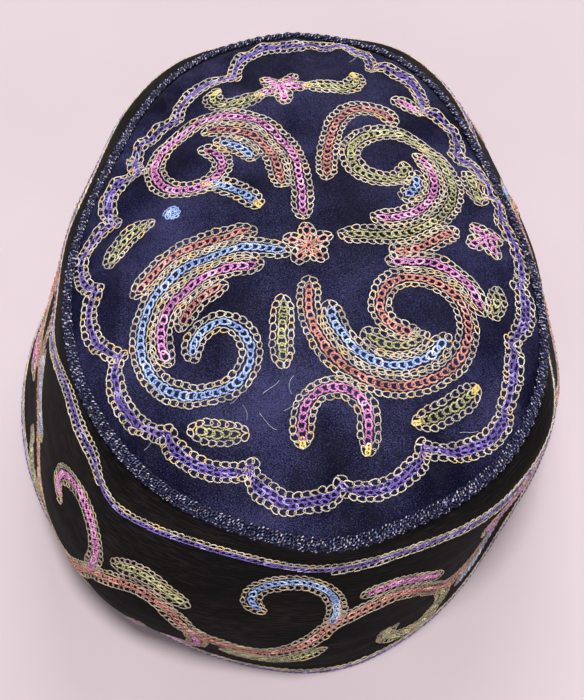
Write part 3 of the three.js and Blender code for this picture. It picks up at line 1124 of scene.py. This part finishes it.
# %% Rows of links
def chain_rows(on, lines, link, seed, closes_by=None):
    """All the links of several rows: their centre lines, facings and shades."""
    draw = np.random.default_rng(seed)
    rows = [spaced(line, link["pitch"], closes_by) for line in lines]
    place = np.concatenate([row[0] for row in rows])
    way = np.concatenate([row[1] for row in rows])
    count = len(place)
    askew = draw.normal(0, ASKEW, count)[:, None]
    way = way * np.cos(askew) + left_of(way) * np.sin(askew)
    place = place + left_of(way) * draw.normal(0, ASIDE, count)[:, None]
    long = link["length"] * draw.uniform(*LONG_RANGE, count)
    wide = link["width"] * draw.uniform(*WIDE_RANGE, count)
    along, across, height = link_shape()
    u, v = long[:, None] * along, wide[:, None] * across
    places = place[:, None] + u[..., None] * way[:, None]
    places = places + v[..., None] * left_of(way)[:, None]
    up = facing(on, places)
    lift = link["thread"] * (height + draw.uniform(*LIFT_RANGE, count)[:, None])
    return on(places) + up * lift[..., None], up, draw.uniform(0, 1, count)


def chain_piece(name, on, lines, link, colour, seed, closes_by=None, finish=None):
    """A piece of chain stitch in one colour, with that colour's own thread or another finish."""
    centres, up, shade = chain_rows(on, lines, link, seed, closes_by)
    points, quads, twist = thread_tubes(centres, up, link["thread"] / 2, THREAD_SIDES)
    shades = np.repeat(shade, LINK_POINTS * THREAD_SIDES)
    add_piece(name, points, quads, THREADS[finish or colour], twist=twist, shade=shades)

# %% The scalloped border's stitches
# the border's violet row is doubled where its stitching is full: from and over what fullness, half the
# distance between the two rows in mm, and the distance to the gold
DOUBLED_FROM, DOUBLED_OVER = 0.4, 0.25
DOUBLED_AWAY = 0.52
BORDER_AWAY = 1.42
# a second row starts and ends at this share of the distance, and has more than so many points
DOUBLED_ENDS = 0.6
SECOND_POINTS = 8

doubled = np.clip((scallop_full - DOUBLED_FROM) / DOUBLED_OVER, 0, 1)
border_core = sideways(scallop, DOUBLED_AWAY * doubled, IN_PLACE)
second_core = sideways(scallop, -DOUBLED_AWAY * doubled, IN_PLACE)
wide_enough = doubled > DOUBLED_ENDS
starts_double = np.flatnonzero(wide_enough & ~np.roll(wide_enough, 1))
ends_double = np.flatnonzero(wide_enough & ~np.roll(wide_enough, -1))
second_rows = [second_core[a:b] for a, b in zip(starts_double, ends_double) if b - a > SECOND_POINTS]
border_away = BORDER_AWAY + DOUBLED_AWAY * doubled
border_gold = [sideways(scallop, side * border_away, IN_PLACE) for side in (1, -1)]
chain_piece("border_core", on_crown, [border_core], NARROW_LINK, "purple", 20, IN_PLACE)
chain_piece("border_second_core", on_crown, second_rows, NARROW_LINK, "purple", 22)
chain_piece("border_outlines", on_crown, border_gold, GOLD_LINK, "gold", 21, IN_PLACE)

# %% The panel's scrolls and flowers
for k, (colour, lines) in enumerate(crown_cores.items()):
    chain_piece("crown_" + colour, on_crown, lines, CORE_LINK, colour, 30 + k)
half = len(crown_gold) // 2
chain_piece("crown_outlines", on_crown, crown_gold[:half], GOLD_LINK, "gold", 40)
chain_piece("crown_outlines_more", on_crown, crown_gold[half:], GOLD_LINK, "gold", 41)
chain_piece("yellow_tips", on_crown, crown_tips, TIP_LINK, "gold", 42, finish="yellow")
chain_piece("blue_rosette", on_crown, [rosette], KNOT_LINK, "blue", 43)

# %% [markdown]
# ## Needlework on the band
# The same stitches go on the band with its own surface function: a violet row between gold ones under
# the seam, the running scroll, and a violet and a gold row that bind the rim.

# %% Under the seam and at the rim
SHOULDER_AWAY = 1.6
RIM_AWAY = 1.75
# the lower gold row under the seam is only worked in two stretches: directions in degrees from and to
LOWER_GOLD = [(184, 226), (272, 395)]
LOWER_POINTS = 200

shoulder_gold = shoulder_line + [0, SHOULDER_AWAY]
chain_piece("shoulder_core", on_band, [shoulder_line], NARROW_LINK, "purple", 50, ROUND_BAND)
chain_piece("shoulder_outline", on_band, [shoulder_gold], GOLD_LINK, "gold", 51, ROUND_BAND)
lower_gold = []
for start, end in LOWER_GOLD:
    across = np.interp(np.radians([start, end]), round_turns, round_length)
    across = np.linspace(*across, LOWER_POINTS)
    lower_gold.append(np.stack([across, shoulder_height(band_turn(across)) - SHOULDER_AWAY], -1))
chain_piece("shoulder_outline_low", on_band, lower_gold, GOLD_LINK, "gold", 52)
chain_piece("rim_core", on_band, [rim_line], RIM_LINK, "purple", 53, ROUND_BAND)
chain_piece("rim_outline", on_band, [rim_line + [0, RIM_AWAY]], RIM_GOLD_LINK, "gold", 54, ROUND_BAND)

# %% The band's running scroll
stem_gold = [sideways(stem_line, side * OUTLINE_AWAY, ROUND_BAND) for side in (1, -1)]
chain_piece("stem_core", on_band, [stem_line], CORE_LINK, "coral", 55, ROUND_BAND)
# the scroll's outlines take the darker gold, which is painted shade
chain_piece("stem_outlines", on_band, stem_gold, GOLD_LINK, "gold", 56, ROUND_BAND, "shaded_gold")
for k, (colour, lines) in enumerate(band_cores.items()):
    chain_piece("band_" + colour, on_band, lines, CORE_LINK, colour, 60 + k)
half = len(band_gold) // 2
# outlined in the darker gold, which is painted shade
chain_piece("band_outlines_left", on_band, band_gold[:half], GOLD_LINK, "gold", 70, finish="shaded_gold")
chain_piece("band_outlines_right", on_band, band_gold[half:], GOLD_LINK, "gold", 71, finish="shaded_gold")

# %% [markdown]
# ## The plaited braid
# A flat three-strand plait weaves each strand from edge to edge and over and under as it goes: one sine
# wave across, and one of twice the pace up and down, a third of a turn apart. Each strand is a flat
# bundle of yarns. The plait is bent over the edge of the seam, half on the panel and half on the band.
# Its yarn is dark, with a painted glint that shows as a bright dot at each turn of the twist.

# %% Where the braid lies
BRAID_WIDTH = 3.7
BRAID_THICKNESS = 2.3
SEAM_GAP = 0.3
BRAID_LOBE = 2.9
BRAID_SWING = 0.52
STRANDS = 3
YARNS = 3
YARN_THICK = 0.58
BRAID_STEP = 0.5
# in mm: how far a strand goes up and down, how uneven a yarn is, and over what length
BRAID_LIFT = 0.38
YARN_WOBBLE, WOBBLE_LENGTH = 0.1, 7
# the distance between yarns, and how much lower the outer ones lie, as shares of a yarn
YARN_PITCH = 0.86
STRAND_ARCH = 0.22
# the share of the way down the band and in over the panel at which each one's slope is taken
SLOPE_STEP = 0.01

seam_run = distances(seam)


def braid_places(length_share, along, high):
    """Places over the seam's edge: along from -0.5 on the band to 0.5 on the panel, high over the cloth."""
    turn = np.interp(length_share * seam_run[-1], seam_run, seam_turns)
    edge = band_plain(turn, 1.0)
    out = outward(turn, 1.0)
    down = band_plain(turn, 1.0 - SLOPE_STEP) - edge
    inward = CROWN_MIDDLE + (edge[..., :2] - CROWN_MIDDLE) * (1 - SLOPE_STEP)
    inward = np.concatenate([inward, crown_plain(inward[..., 0], inward[..., 1])[..., None]], -1) - edge
    band_faces = np.arctan2((down * out).sum(-1), -down[..., 2])
    crown_faces = np.arctan2(-(inward * out).sum(-1), inward[..., 2])
    lies = np.where(along < 0, band_faces, crown_faces)
    blend = np.clip(along + 0.5, 0, 1)
    faces = band_faces + (crown_faces - band_faces) * blend * blend * (3 - 2 * blend)
    sideways_mm = high * np.cos(faces) - along * BRAID_WIDTH * np.sin(lies)
    upwards_mm = high * np.sin(faces) + along * BRAID_WIDTH * np.cos(lies)
    place = edge + out * sideways_mm[..., None]
    place[..., 2] += upwards_mm
    way = out * np.cos(faces)[..., None]
    way[..., 2] += np.sin(faces)
    return place, way


print("the seam is", round(float(seam_run[-1])), "mm round")

# %% The braid's yarn
# mm of yarn to one turn, then how fine its painted glint specks are, and the patches of the glints' colours
YARN_TURN = 1.05
GLINT_SPECK_SCALE = 900
GLINT_TINT_SCALE = 700


def plait_material():
    """Dark navy yarn with a painted glint, a bright dot, at each turn of its twist, some bluish, some pale
    and some tan.
    """
    nodes = Nodes("navy_plait_yarn")
    length, around = nodes.thread_places()
    turns = nodes.math("ADD", nodes.math("DIVIDE", length, YARN_TURN), around)
    wave = nodes.math("SINE", nodes.math("MULTIPLY", turns, 2 * math.pi))
    ply = nodes.math("ADD", nodes.math("MULTIPLY", wave, 0.5), 0.5)
    mixed = nodes.total((ply, 0.4), (nodes.noise(nodes.coordinates(), GLINT_SPECK_SCALE, 1.0), 0.6))
    glint_tints = nodes.noise(nodes.coordinates(), GLINT_TINT_SCALE, 1.0)
    # the colours of the painted glints, which show where the twist and the fine specks run high
    bluish, pale, tan = (0.19, 0.22, 0.40), (0.56, 0.56, 0.66), (0.52, 0.40, 0.39)
    nodes.colour(nodes.blend(
        nodes.ramp(mixed, (0.65, (0, 0, 0)), (0.76, (1, 1, 1))),
        nodes.ramp(mixed, (0.35, (0.0012, 0.0014, 0.010)), (0.60, (0.013, 0.015, 0.056))),
        nodes.ramp(glint_tints, (0.42, bluish), (0.54, pale), (0.66, tan)),
    ))
    nodes.bump(ply, 1.0, PLY_DEPTH)
    return nodes.finish(roughness=0.5, specular_ior_level=0.2)


print("a turn of yarn every", YARN_TURN, "mm")

# %% The plait
def braid_piece():
    """Three strands of flat yarns that weave round the seam in a whole number of repeats."""
    round_mm = seam_run[-1]
    periods = round(round_mm / BRAID_LOBE / STRANDS)
    steps = int(round_mm / BRAID_STEP)
    share = np.linspace(0, 1, steps, endpoint=False)
    swing = BRAID_SWING * (BRAID_WIDTH - YARN_THICK) / 2
    centres, ways = [], []
    for strand in range(STRANDS):
        phase = 2 * np.pi * (periods * share + strand / STRANDS)
        slope = swing * np.cos(phase) * 2 * np.pi * periods / round_mm
        lean = np.hypot(1, slope)
        lift = BRAID_THICKNESS / 2 + BRAID_LIFT * np.sin(2 * phase)
        for yarn in range(YARNS):
            from_middle = yarn - (YARNS - 1) / 2
            offset = from_middle * YARN_THICK * YARN_PITCH
            seed = 90 + strand * 10 + yarn
            wobble = YARN_WOBBLE * waves(share * round_mm, 0 * share + yarn, WOBBLE_LENGTH, seed)
            arch = -STRAND_ARCH * from_middle ** 2 * YARN_THICK
            along = (swing * np.sin(phase) + offset / lean) / BRAID_WIDTH
            shift = share - offset * slope / lean / round_mm
            place, way = braid_places(shift % 1.0, along, SEAM_GAP + lift + arch + wobble)
            centres.append(place)
            ways.append(way)
    points, quads, twist = thread_tubes(np.array(centres), np.array(ways), YARN_THICK / 2, THREAD_SIDES)
    add_piece("plaited_braid", points, quads, plait_material(), ["edge_braid"], twist)


braid_piece()

# %% [markdown]
# ## Lint
# A dark cap gathers pale lint, and a few hairs of it catch on the panel, most of them near the arch.
# They are walks with strong, changing bends, as thin as a tube can be without vanishing from the picture.

# %% Lint
HAIR_THICK = 0.11
HAIR_POINTS = 24
HAIR_SIDES = 3
HAIR_LIFT = 0.35
LINT_SCALE = 900
# where a hair lies in plan, its heading in degrees, its length in mm and its bend at either end
HAIRS = [
    (-9, -56, 40, 5, -14, 20), (-4, -61, 10, 6, 14, -18), (-13, -62, 75, 4, 16, 12),
    (-6, -65, 160, 6, -18, 8), (-17, -58, 20, 4, 22, -8), (-2, -57, 120, 5, -12, -20),
    (-38, -66, 30, 5, 8, 18), (20, 58, 70, 4, -18, 14), (-30, 6, 110, 4, 22, 6),
    (38, -66, 15, 5, -10, 20),
]


def lint_piece():
    """Every hair goes out and comes back just over itself, so that it is a closed loop too."""
    centres = []
    for x, y, heading, length, bend, last_bend in HAIRS:
        line = walk(x, y, heading, (length, bend, last_bend))
        line = line[np.linspace(0, len(line) - 1, HAIR_POINTS).astype(int)]
        there = on_crown(line) + facing(on_crown, line) * HAIR_LIFT
        centres.append(np.concatenate([there, there[::-1] + [0, 0, HAIR_THICK]]))
    centres = np.array(centres)
    up = np.zeros(centres.shape)
    up[..., 2] = 1
    points, quads, _ = thread_tubes(centres, up, HAIR_THICK / 2, HAIR_SIDES)
    nodes = Nodes("pale_lint")
    fluff = nodes.noise(nodes.coordinates(), LINT_SCALE, 1.0)
    nodes.colour(nodes.ramp(fluff, (0.3, (0.30, 0.32, 0.40)), (0.7, (0.62, 0.64, 0.72))))
    add_piece("lint", points, quads, nodes.finish(roughness=0.8))


lint_piece()

# %% [markdown]
# ## Floor and light
# The cap stands on a plain pale floor. The key light is nearly overhead, on the camera's side, so its
# shadow hides behind the cap. A wide light beyond the cap brightens the far floor, a weak one fills in
# from the near side, and a pale world keeps the shadows open.

# %% Floor and light
FLOOR_SIZE = 6.0
FLOOR_GRAIN = 12
WORLD_STRENGTH = 0.30
LIGHTS_FACE = (0, 0, 0.06)
# name, place and size in m, power in W and colour
LIGHTS = [
    ("key", (0.02, -0.20, 1.15), 0.26, 15.5, (1.0, 0.975, 0.965)),
    ("far", (0.18, 0.85, 0.90), 0.7, 9.5, (1.0, 0.97, 0.97)),
    ("near", (-0.15, -0.9, 0.6), 0.7, 2.8, (1.0, 0.95, 0.96)),
]


def make_floor():
    """A wide square under the cap, which is scenery and not part of it."""
    mesh = bpy.data.meshes.new("floor")
    half = FLOOR_SIZE / 2
    corners = [(-half, -half, 0), (half, -half, 0), (half, half, 0), (-half, half, 0)]
    mesh.from_pydata(corners, [], [(0, 1, 2, 3)])
    floor = bpy.data.objects.new("floor", mesh)
    bpy.context.scene.collection.objects.link(floor)
    nodes = Nodes("pale_floor")
    grain = nodes.noise(nodes.coordinates(), FLOOR_GRAIN)
    nodes.colour(nodes.ramp(grain, (0.3, (0.425, 0.362, 0.392)), (0.7, (0.450, 0.387, 0.417))))
    mesh.materials.append(nodes.finish(roughness=0.9))


def area_light(name, place, size, power, colour):
    """A round soft light that faces the cap."""
    data = bpy.data.lights.new(name, "AREA")
    data.shape, data.size, data.energy, data.color = "DISK", size, power, colour
    light = bpy.data.objects.new(name, data)
    light.location = place
    x, y, z = np.array(LIGHTS_FACE) - np.array(place)
    light.rotation_euler = (math.atan2(math.hypot(x, y), -z), 0, math.atan2(y, x) - math.pi / 2)
    bpy.context.scene.collection.objects.link(light)


make_floor()
for light in LIGHTS:
    area_light(*light)
print("lights:", len(LIGHTS))
world = bpy.data.worlds.new("pale_world")
world.use_nodes = True
background = next(n for n in world.node_tree.nodes if n.type == "BACKGROUND")
background.inputs["Color"].default_value = (1.0, 0.96, 0.96, 1)
background.inputs["Strength"].default_value = WORLD_STRENGTH
bpy.context.scene.world = world
bpy.context.scene.view_settings.view_transform = "Standard"
